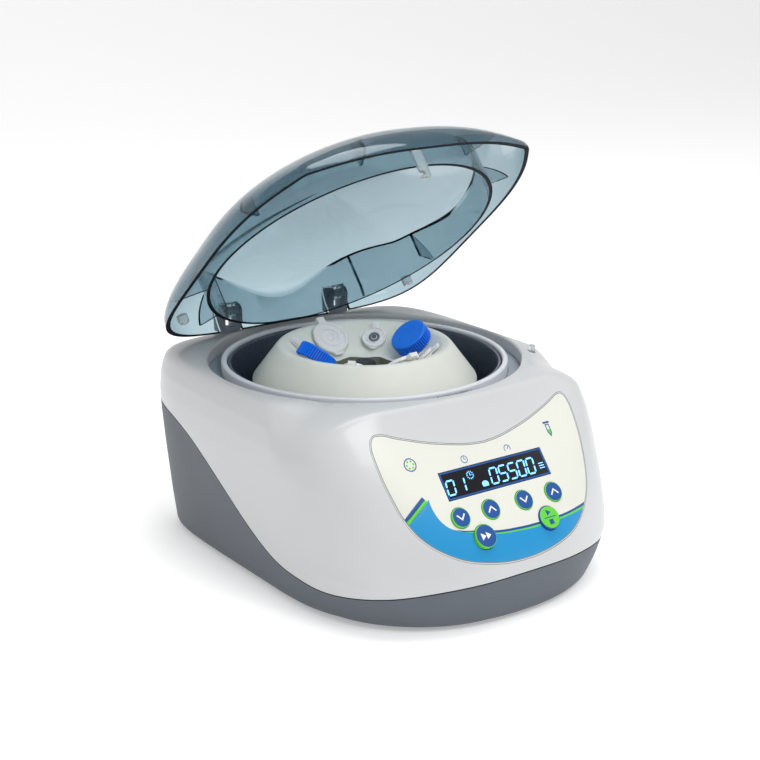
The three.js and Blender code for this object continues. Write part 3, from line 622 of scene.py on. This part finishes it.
def label():
    edge = label_outline(0)
    line_out, line_in = label_outline(-0.35), label_outline(-0.8)
    window = [(WINDOW[0], WINDOW[2]), (WINDOW[1], WINDOW[2]), (WINDOW[1], WINDOW[3]),
              (WINDOW[0], WINDOW[3])]
    frame_in = [(x * 1.0, s) for x, s in window]
    holes = [frame_in] + [circle(r + GAP, 40, x, s) for _, x, s, r in KEYS]
    art = label_art()
    loops = [edge, line_out, line_in] + holes + [a for a, _ in art]
    points, edges = [], []
    for loop in loops:
        start = len(points)
        points += loop
        edges += [(start + i, start + (i + 1) % len(loop)) for i in range(len(loop))]
    pitch = 1.7
    for row, s in enumerate(np.arange(-54, 28, pitch * 0.87)):
        for x in np.arange(-67, 67, pitch):
            points.append((x + (row % 2) * pitch / 2, s))
    flat = [Vector(p) for p in points]
    made, _, faces, *_ = delaunay_2d_cdt(flat, edges, [], 0, 1e-4)
    kept, tone_of = [], []
    for f in faces:
        mid = tuple(sum((made[i] for i in f), Vector((0, 0))) / 3)
        if not within(mid, edge) or any(within(mid, h) for h in holes):
            continue
        colour = 0
        if within(mid, line_in):
            for loop, number in art:
                if within(mid, loop):
                    colour = number
        elif within(mid, line_out):
            colour = 1
        kept.append(list(f))
        tone_of.append(colour)
    used = sorted({i for f in kept for i in f})
    index = {v: i for i, v in enumerate(used)}
    top = lift([made[i] for i in used], 0.12)
    n = len(top)
    verts = list(top) + list(top - 0.65 * np.array((0, -SIN_P, COS_P)))
    faces = [[index[i] for i in f] for f in kept]
    count = {}
    for f in faces:
        for a, b in zip(f, f[1:] + f[:1]):
            count[(a, b)] = count.get((a, b), 0) + 1
    rim = [(a, b) for a, b in count if (b, a) not in count]
    every = faces + [[i + n for i in reversed(f)] for f in faces]
    every += [[b, a, a + n, b + n] for a, b in rim]
    tones = tone_of + [0] * (len(faces) + len(rim))
    mesh = bpy.data.meshes.new("label")
    mesh.from_pydata([tuple(v) for v in verts], [], every)
    mesh.polygons.foreach_set("material_index", tones)
    ob = bpy.data.objects.new("label", mesh)
    bpy.context.scene.collection.objects.link(ob)
    names = ("cream", "line", "sky", "navy", "green")
    mesh.update()
    return finish_label(ob, [M[k] for k in names])


def finish_label(ob, mats):
    numbers = [p.material_index for p in ob.data.polygons]
    for m in mats:
        ob.data.materials.append(m)
    ob.data.polygons.foreach_set("material_index", numbers)
    finish_piece(ob, "printed_label", "housing", None, ["control_overlay"], 40)


# ---- display and keys ---------------------------------------------------------------------
SEGMENTS = {"0": "abcdef", "1": "bc", "5": "afgcd"}


def digit(char, x, s, w, h, slant, t=0.85):
    """Seven-segment strokes of one numeral, as outlines."""
    m, top, cut_off = s + h / 2, s + h, 0.25
    ends = {"a": ((0, top), (w, top)), "b": ((w, top), (w, m)), "c": ((w, m), (w, s)),
            "d": ((0, s), (w, s)), "e": ((0, m), (0, s)), "f": ((0, top), (0, m)),
            "g": ((0, m), (w, m))}
    out = []
    for key in SEGMENTS[char]:
        a, b = Vector(ends[key][0]), Vector(ends[key][1])
        d = (b - a).normalized()
        a, b = a + d * (t / 2 + cut_off), b - d * (t / 2 + cut_off)
        side = Vector((-d.y, d.x)) * t / 2
        tip = d * t * 0.45
        loop = [a - tip, a + side, b + side, b + tip, b - side, a - side]
        out.append([(x + p.x + (p.y - s) * slant, p.y) for p in loop])
    return out


def screen_marks():
    marks = []
    for i, char in enumerate("01"):
        marks += digit(char, -33.2 + i * 6.6, -12.6, 4.7, 7.4, 0.14)
    for i, char in enumerate("05500"):
        marks += digit(char, -5.2 + i * 6.1, -12.6, 4.5, 8.2, 0.14)
    for a in np.arange(0, 2 * math.pi, math.pi / 6):
        c, s = math.cos(a), math.sin(a)
        marks.append(bar(-16.3 + 1.75 * c, -5 + 1.75 * s, -16.3 + 2.05 * c, -5 + 2.05 * s, 0.4))
    marks += [bar(-16.3, -5, -16.3, -3.9, 0.35), bar(-16.3, -5, -15.6, -5, 0.35)]
    lid = [(-11.6 + 0.4, -12.6)] + [(-9.4 + 2 * math.cos(a), -11.2 + 1.5 * math.sin(a))
                                    for a in np.linspace(math.pi, 0, 12)] + [(-7.6, -12.6)]
    marks.append(lid)
    for i in range(3):
        marks.append(bar(27.4, -11 + i * 1.3, 30.2, -11 + i * 1.3, 0.45))
    return marks


def display():
    x0, x1, s0, s1 = WINDOW[0] + GAP, WINDOW[1] - GAP, WINDOW[2] + GAP, WINDOW[3] - GAP
    glass = box(x0, x1, s0, s1, -8, -0.25, 0.15)
    glass.data.materials.append(M["screen"])
    inner = prism([(x0 + 1, s0 + 1), (x1 - 1, s0 + 1), (x1 - 1, s1 - 1), (x0 + 1, s1 - 1)],
                  -2, 2)
    border = cut(box(x0 + 0.1, x1 - 0.1, s0 + 0.1, s1 - 0.1, -0.24, -0.14), inner)
    border.data.materials.clear()
    border.data.materials.append(M["navy"])
    ob = move(join(glass, border), on_panel())
    finish_piece(ob, "display_window", "housing", None, ["display_module"])
    parts = [prism(m, -0.24, -0.16) for m in screen_marks()]
    ob = move(join(*parts), on_panel())
    finish_piece(ob, "display_figures", "housing", [M["lit"]], [])


def key_marks(name, x, s):
    if name.endswith("down") or name.endswith("up"):
        k = 1 if name.endswith("up") else -1
        return [bar(x - 2.1, s - 1.2 * k, x, s + 1.3 * k, 0.75),
                bar(x, s + 1.3 * k, x + 2.1, s - 1.2 * k, 0.75)]
    if name == "quick":
        return [[(x - 2.9, s - 1.9), (x - 0.1, s), (x - 2.9, s + 1.9)],
                [(x + 0.2, s - 1.9), (x + 3, s), (x + 0.2, s + 1.9)]]
    return [[(x - 1.2, s + 1), (x + 1.6, s + 2.6), (x - 1.2, s + 4.2)],
            bar(x - 3.4, s, x + 3.4, s, 0.45),
            [(x - 1.3, s - 3.8), (x + 1.3, s - 3.8), (x + 1.3, s - 1.2), (x - 1.3, s - 1.2)]]


def key(name, x, s, r):
    fill, rim, ink = ("green", "navy", "navy") if name == "start_stop" else ("navy", "green",
                                                                            "ink")
    body = turned([(0, -8.5), (2.2, -8.5), (2.2, -2.2), (r, -2.2), (r, 0.25), (r - 0.5, 0.6),
                   (0, 0.75)], 64, x, s, 0.3)
    for m in (fill, rim):
        body.data.materials.append(M[m])
    for p in body.data.polygons:
        c = p.center
        p.material_index = int(math.hypot(c.x - x, c.y - s) > r - 0.42)
    marks = [prism(m, 0.45, 0.76) for m in key_marks(name, x, s)]
    for m in marks:
        m.data.materials.append(M[ink])
    ob = move(join(body, *marks), on_panel())
    finish_piece(ob, name + "_key", name + "_button_body", None, [name + "_button"])


# ---- chamber ------------------------------------------------------------------------------
def chamber():
    ring = turned([(RING_IN, 88), (RING_OUT, 88), (RING_OUT, DECK_Z - 0.8),
                   (RING_IN, DECK_Z - 0.8), (RING_IN, 88)], 240, 0, BOWL_Y, 1.5)
    finish_piece(ring, "chamber_lip", "housing", [M["ring"]], ["chamber_ring"])
    floor = lathe([(RING_OUT + GAP, GROOVE_Z - 2.4), (HOLE_R - GAP, GROOVE_Z - 2.4),
                   (HOLE_R - GAP, GROOVE_Z), (RING_OUT + GAP, GROOVE_Z),
                   (RING_OUT + GAP, GROOVE_Z - 2.4)], 240, 0, BOWL_Y)
    floor = cut(floor, box(-9, 3.1, BOWL_Y - 86.2, BOWL_Y - 82.2, 93, GROOVE_Z + 0.1))
    finish_piece(floor, "groove_bottom", "housing", [M["groove"]], ["groove_floor"])
    bowl = turned([(9, 50), (62, 50), (73, 57), (RING_IN - 0.4, 70), (RING_IN - 0.4, 101.5),
                   (RING_IN - 2.6, 101.5), (RING_IN - 2.6, 71), (71, 59), (61, 52.4), (9, 52.4),
                   (9, 50)], 200, 0, BOWL_Y, 2.5)
    finish_piece(bowl, "chamber_bowl", "housing", [M["bowl"]], ["chamber_liner"])


# ---- rotor and tubes ----------------------------------------------------------------------
def cone_z(r):
    return 88.8 + (r - 18) * 0.843


def seat_place(i):
    r = 35.5 if i % 2 == 0 else 34
    return (Matrix.Translation((0, BOWL_Y, 0)) @ Matrix.Rotation(i * math.pi / 4, 4, "Z")
            @ Matrix.Translation((r, 0, cone_z(r))) @ Matrix.Rotation(-TILT, 4, "Y"))


def rotor():
    ob = turned([(4.05, 66), (20, 66), (23, 60), (52, 60), (60, 64), (62.8, 70), (62.8, 91.3),
                 (49.8, 108.6), (47.8, 110.7), (45, 110.6), (43, 109.8), (26.54, 96), (20, 96),
                 (18, 78), (4.05, 78), (4.05, 66)], 200, 0, BOWL_Y, 1.3)
    well = prism(circle(WELL_R, 8, start=math.pi / 8 + WELL_TURN), 78.4, 100)
    ob = cut(ob, move(well, Matrix.Translation((0, BOWL_Y, 0))))
    for i in range(8):
        deep, bore, face = (34.5, 8.6, 11.5) if i % 2 == 0 else (37.5, 5.9, 7.5)
        tool = lathe([(0, -deep), (bore * 0.55, -deep + 1.2), (bore, -deep + 9), (bore, 0),
                      (face - 0.3, 0), (face, 0.3), (face, 9), (0, 9)], 64)
        ob = cut(ob, move(tool, seat_place(i)))
    ob.data.materials.clear()
    ob.data.materials.append(M["rotor"])
    ob.data.materials.append(M["well"])
    # Faces of the central well below its top take the darker well material: painted shade in the
    # recess
    for p in ob.data.polygons:
        away = math.hypot(p.center.x, p.center.y - BOWL_Y)
        p.material_index = int(away < WELL_R - 0.1 and p.center.z < 95.4)
    finish_piece(ob, "rotor_casting", "rotor_assembly", None, ["rotor"])
    nut = turned([(4.05, 78.3), (10, 78.3), (10, 81), (6.5, 83), (6.5, 98.6), (5.5, 99.7),
                  (0, 99.7), (0, 84.3), (4.05, 84.3), (4.05, 78.3)], 72, 0, BOWL_Y, 0.5)
    for a in np.arange(0, 2 * math.pi, math.pi / 6):
        notch = lathe([(0, 83.5), (0.7, 83.5), (0.7, 101), (0, 101)], 12, 6.9 * math.cos(a),
                      BOWL_Y + 6.9 * math.sin(a))
        nut = cut(nut, notch)
    finish_piece(nut, "rotor_knob", "rotor_assembly", [M["black"]], ["rotor_nut"])
    shaft = turned([(0, 45), (4, 45), (4, 84), (0, 84)], 48, 0, BOWL_Y, 0.4)
    finish_piece(shaft, "drive_shaft", "rotor_assembly", [M["steel"]], ["motor_shaft"])


def tube_body(neck):
    return turned([(0, -33), (4, -32), (7.6, -24), (8, -21), (8, 0.4), (8.9, 0.4), (8.9, 1.2),
                   (8, 1.2), (8, neck), (7, neck), (7, -21), (6.6, -24), (3.4, -30.6),
                   (0, -31.4)], 48, size=0.25)


def snap_cap(r, z):
    """Moulded snap cap: raised rim, concentric steps and a small centre nub."""
    k = r / 10.6
    line = [(0, z), (r - 0.5, z), (r, z + 0.3), (r, z + 1.8), (r - 0.5, z + 2), (r - 1.3 * k,
            z + 2), (r - 1.7 * k, z + 1.35), (6.6 * k, z + 1.35), (6.2 * k, z + 1.75),
            (5.6 * k, z + 1.75), (5.2 * k, z + 1.2), (2.7 * k, z + 1.2), (2.3 * k, z + 1.65),
            (1.8 * k, z + 1.65), (1.4 * k, z + 1.3), (0.5, z + 1.3), (0, z + 1.9)]
    return lathe(soft(line, 0.15, 3), 96)


def strap(r, z, w):
    outline = soft([(r - 0.9, z), (r + 2.4, z), (r + 2.4, 1.6), (r - 0.9, 1.6), (r - 0.9, 0.6),
                    (r + 4, 0.6), (r + 4, z + 1.2), (r - 0.9, z + 1.2)], 0.3, 3, closed=True)
    n = len(outline)
    verts = [(x, -w, z0) for x, z0 in outline] + [(x, w, z0) for x, z0 in outline]
    faces = [list(range(n))[::-1], list(range(n, 2 * n))]
    faces += [[i, (i + 1) % n, n + (i + 1) % n, n + i] for i in range(n)]
    return solid(verts, faces)


def tab(r, z, w, reach):
    """Thumb tab on the side of a cap away from its strap."""
    shape = soft([(-r + 2, -w - 1.4), (-r - reach, -w), (-r - reach, w), (-r + 2, w + 1.4)], 0.9,
                 4, closed=True)
    return rounded(prism(shape, z + 0.3, z + 1.6), 0.25)


def big_snap_tube(i, node):
    ob = add(tube_body(1.2), snap_cap(10.6, 1.5))
    ob = add(ob, strap(10.6, 1.7, 2.4), tab(10.6, 1.5, 2.6, 1.7))
    finish_piece(move(ob, seat_place(i)), node + "_shell", "rotor_assembly", [M["tube"]], [node])


def small_snap_tube(i, node):
    body = turned([(0, -36.5), (2, -36), (4.8, -19), (5.2, -14), (5.2, 0.4), (6.6, 0.4),
                   (6.6, 1.4), (4.3, 1.4), (4.3, -14), (3.9, -19), (1.2, -34.6), (0, -35)], 40,
                  size=0.2)
    ob = add(body, snap_cap(6.9, 1.7), strap(6.9, 1.8, 2), tab(6.9, 1.7, 1.6, 0.9))
    ob.data.materials.clear()
    ob.data.materials.append(M["tube"])
    ob.data.materials.append(M["tube_dark"])
    for p in ob.data.polygons:
        c = p.center
        away = math.hypot(c.x, c.y)
        p.material_index = int(c.z > 2.7 and away < 3.2 and not 1.4 < away < 1.75)
    finish_piece(move(ob, seat_place(i)), node + "_shell", "rotor_assembly", None, [node])


def screw_tube(i, node, cap_node):
    finish_piece(move(tube_body(7), seat_place(i)), node + "_shell", "rotor_assembly",
                 [M["tube"]], [node])
    outline = []
    for k in range(CAP_RIBS):
        for part, r in ((0, 10.2), (0.14, 11), (0.52, 11), (0.66, 10.2)):
            a = 2 * math.pi * (k + part) / CAP_RIBS
            outline.append((r * math.cos(a), r * math.sin(a)))
    side = prism(outline, 1.5, 8.1)
    crown = turned([(0, 8), (10.6, 8), (10.9, 8.1), (10.7, 8.7), (10, 9), (0.9, 9), (0.7, 8.75),
                    (0, 8.75)], 128, size=0.15)
    cap = cut(add(side, crown), lathe([(0, 1), (8.3, 1), (8.3, 7.4), (0, 7.4)], 64))
    cap.data.materials.clear()
    cap.data.materials.append(M["blue"])
    cap.data.materials.append(M["blue_rib_shade"])
    # Side faces in the valleys between the ribs take the darker blue: painted shade between the
    # ribs
    for p in cap.data.polygons:
        between = 8.5 < math.hypot(p.center.x, p.center.y) < 10.5
        p.material_index = int(between and abs(p.normal.z) < 0.2)
    finish_piece(move(cap, seat_place(i)), cap_node + "_ribbed", "rotor_assembly", None,
                 [cap_node], 28)


def tubes():
    names = ("right", "back_right", "back", "back_left", "left", "front_left", "front",
             "front_right")
    for i, name in enumerate(names):
        if i in (0, 4):
            screw_tube(i, "tube_5ml_" + name, "screw_cap_" + name)
        elif i % 2 == 0:
            big_snap_tube(i, "tube_5ml_" + name)
        else:
            small_snap_tube(i, "tube_1500ul_" + name)


# ---- lid ----------------------------------------------------------------------------------
LEVELS = [1, 0.997, 0.992, 0.985, 0.975, 0.962, 0.945, 0.925, 0.9, 0.87, 0.84, 0.8, 0.755, 0.7,
          0.64, 0.57, 0.5, 0.42, 0.34, 0.26, 0.18, 0.1]


def dome(shrink, drop, cols=220):
    a = np.arange(cols) * 2 * math.pi / cols
    c, s = np.cos(a), np.sin(a)
    verts = [(0, 5.5, RIM_Z - drop)]
    levels = [(1, True)] + [(level, False) for level in LEVELS]
    for level, foot in levels:
        share = level ** 4
        n = np.where(s < 0, 1.8 + 0.95 * share, 2.3 + 2.9 * share)
        r = level / ((np.abs(c) ** n + np.abs(s) ** n) ** (1 / n))
        off = np.abs(np.abs(a - 1.5 * math.pi) - CORNER_ANGLE)
        sweep = 1 + CORNER_REACH * np.exp(-off / CORNER_SPREAD) * level ** 24
        r = np.where(s < 0, r * sweep, r)
        power = 2.1 + 2.9 * step(0.57, 0.94, s)
        h = (37 - shrink) * np.sqrt(np.maximum(0, 1 - level ** power))
        z = np.full(cols, RIM_Z - drop) if foot else RIM_Z + 0.8 + h
        reach = np.where(s < 0, 99.2, 90.6) - shrink
        verts += list(zip(r * c * (93.7 - shrink), 5.5 + r * s * reach, z))
    verts.append((0, 5.5, RIM_Z + 37.8 - shrink))
    last = len(verts) - 1
    faces = []
    for j in range(cols):
        k = (j + 1) % cols
        faces += [[0, 1 + k, 1 + j], [last, last - cols + j, last - cols + k]]
        for i in range(len(levels) - 1):
            p, q = 1 + i * cols + j, 1 + i * cols + k
            faces.append([p, q, q + cols, p + cols])
    return solid(verts, faces, 1e-6)


def ring_wall(r0, r1, z0, z1):
    return lathe([(r0, z0), (r1, z0), (r1, z1), (r0, z1), (r0, z0)], 220, 0, BOWL_Y)


def web(degrees):
    plate = box(83.9, 130, -0.8, 0.8, 109.5, 145)
    return move(plate, Matrix.Translation((0, BOWL_Y, 0)) @ Matrix.Rotation(
        math.radians(degrees), 4, "Z"))


def lid():
    skirt = keep(ring_wall(82.9, 84.9, 102.3, 145), dome(0.4, 3.5))
    webs = [keep(web(a), dome(0, 0)) for a in (-112, -64, -152, -28, 152, 28, 124, 56)]
    ob = add(cut(dome(0, 0), dome(2.4, 3)), skirt, *webs)
    notches = [box(x - 7.6, x + 7.6, 86, 120, 95, 119.6) for x in (-38, 38)]
    ob = cut(ob, *notches, box(-3.8, 3.8, -80, -74, 100, 112))
    ob.data.materials.clear()
    ob.data.materials.append(M["smoke"])
    ob.data.materials.append(M["edge"])
    # Down-facing faces below the rim height (rim and skirt bottoms) take the near-black edge
    # material: painted shade for the dark-looking edge of the clear plastic
    for p in ob.data.polygons:
        p.material_index = int(p.normal.z < -0.8 and p.center.z < PAINTED_RIM_SHADE_Z)
    finish_piece(move(ob, opened()), "lid_dome", "lid", None, ["lid_shell"], 40)


def lid_fittings():
    hook = slab([(-79.3, 95.4), (-76.7, 95.4), (-76.7, 111.7), (-79.3, 111.7)], -3.5, 3.5)
    hook = cut(hook, box(-4.5, -0.6, -90, -70, 96.4, 98.9), box(2.4, 6, -90, -70, 90, 101.8),
               box(-6, -2.6, -90, -70, 98, 101.8))
    ob = move(rounded(hook, 0.35), opened())
    finish_piece(ob, "lid_hook", "lid", [M["clear"]], ["lid_catch"])
    for tag, side in (("left", -1), ("right", 1)):
        ob = turned([(0, 103.9), (2.4, 103.9), (3.2, 104.9), (3.2, 109), (0, 109)], 40,
                    side * 78, 72, 0.4)
        finish_piece(move(ob, opened()), "bumper_" + tag, "lid", [M["clear"]],
                     ["lid_bumper_" + tag])


# ---- pieces softened from their frame nodes -------------------------------------------------
def softened(node, body, mat, width=0.3, angle=35):
    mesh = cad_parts[node].data.copy()
    ob = bpy.data.objects.new(node + "_soft", mesh)
    bpy.context.scene.collection.objects.link(ob)
    bm = bmesh.new()
    bm.from_mesh(mesh)
    bmesh.ops.remove_doubles(bm, verts=bm.verts, dist=1e-6)
    bm.to_mesh(mesh)
    bm.free()
    mesh.materials.clear()
    mesh.materials.append(M[mat])
    move(ob, Matrix.Translation(-SHIFT) @ Matrix.Scale(1000, 4))
    rounded(ob, width, 2, angle)
    finish_piece(ob, node + "_soft", body, [M[mat]], [node])


def small_pieces():
    for tag in ("left", "right"):
        softened("hinge_arm_" + tag, "lid", "clear", 0.25)
        softened("hinge_bracket_" + tag, "housing", "groove", 0.25)
    softened("power_inlet", "housing", "black", 0.3)
    softened("switch_frame", "housing", "black", 0.3)
    softened("power_rocker", "rocker_body", "black", 0.35)
    softened("latch_plate", "housing", "clear", 0.25)
    softened("latch_bolt", "latch_bolt_body", "steel", 0.15)
    for i, (x, y) in enumerate(((-66, 70), (66, 70), (-58, -84), (58, -84))):
        ob = turned([(0, -2), (6.6, -2), (7.5, -1), (7.5, 0.9), (0, 0.9)], 48, x, y, 0.4)
        finish_piece(ob, f"foot_pad_{i + 1}", "housing", [M["rubber"]], [f"foot_{i + 1}"])
    pin = turned([(0, 94), (3, 94), (3, 96), (1.75, 96), (1.75, 106.2), (1.1, 107), (0, 107)],
                 40, 80.5, -43, 0.4)
    finish_piece(pin, "lid_sensor_peg", "sensor_pin_body", [M["clear"]], ["lid_sensor_pin"])


def inner_pieces():
    """Frame pieces whose shape is right get their finish only."""
    finishes = {"control_board": "board", "power_board": "board", "latch_solenoid": "coil",
                "lid_switch": "black", "motor_plate": "steel", "motor": "black",
                "hinge_pin_left": "steel", "hinge_pin_right": "steel"}
    finishes.update({f"motor_damper_{i}": "rubber" for i in (1, 2, 3)})
    for node, mat in finishes.items():
        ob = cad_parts[node]
        ob.data.materials.clear()
        ob.data.materials.append(M[mat])


# ---- stage --------------------------------------------------------------------------------
def stage():
    n = 40
    verts, faces = [], []
    for i in range(n + 1):
        t = i / n
        y, z = (-3 + 4.2 * t / 0.6, 0) if t <= 0.6 else (1.2, 0)
        if t > 0.6:
            a = (t - 0.6) / 0.4 * math.pi / 2
            y, z = 1.2 + 1.6 * math.sin(a), 1.6 * (1 - math.cos(a))
        verts += [(-4, y, z), (4, y, z)]
    faces = [[2 * i, 2 * i + 1, 2 * i + 3, 2 * i + 2] for i in range(n)]
    mesh = bpy.data.meshes.new("floor")
    mesh.from_pydata(verts, [], faces)
    mesh.materials.append(M["floor"])
    mesh.polygons.foreach_set("use_smooth", [True] * len(mesh.polygons))
    ob = bpy.data.objects.new("floor", mesh)
    bpy.context.scene.collection.objects.link(ob)


def softbox(name, place, aim, size, power, colour=(1, 1, 1)):
    light = bpy.data.lights.new(name, "AREA")
    light.shape = "RECTANGLE"
    light.size, light.size_y = size
    light.energy = power
    light.color = colour
    ob = bpy.data.objects.new(name, light)
    ob.location = place
    ob.rotation_euler = (Vector(aim) - Vector(place)).to_track_quat("-Z", "Y").to_euler()
    bpy.context.scene.collection.objects.link(ob)


def lights_and_camera():
    world = bpy.data.worlds.new("studio")
    world.use_nodes = True
    world.node_tree.nodes["Background"].inputs["Color"].default_value = (1, 1, 1, 1)
    world.node_tree.nodes["Background"].inputs["Strength"].default_value = 0.53
    bpy.context.scene.world = world
    softbox("key", (0.0, -0.9, 1.15), (0, 0, 0.1), (0.6, 0.6), 6.5)
    softbox("top", (0.2, 0.1, 1.5), (0, 0, 0.1), (1.0, 0.8), 11.5)
    softbox("side", (1.2, -0.5, 0.6), (0, 0, 0.1), (0.6, 1.0), 0.4)
    cam = bpy.data.cameras.new("camera")
    cam.lens = 75.05
    cam.sensor_width = 36
    cam.clip_start = 0.01
    ob = bpy.data.objects.new("camera", cam)
    ob.location = (-0.4893, -0.6694, 0.3532)
    aim = Vector((0.00627, 0.01762, 0.09076)) - Vector(ob.location)
    ob.rotation_euler = aim.to_track_quat("-Z", "Y").to_euler()
    bpy.context.scene.collection.objects.link(ob)
    bpy.context.scene.camera = ob
    bpy.context.scene.view_settings.view_transform = "Standard"


# ---- build --------------------------------------------------------------------------------
base_shell()
upper_shell()
label()
display()
for entry in KEYS:
    key(*entry)
chamber()
rotor()
tubes()
lid()
lid_fittings()
small_pieces()
inner_pieces()
stage()
lights_and_camera()
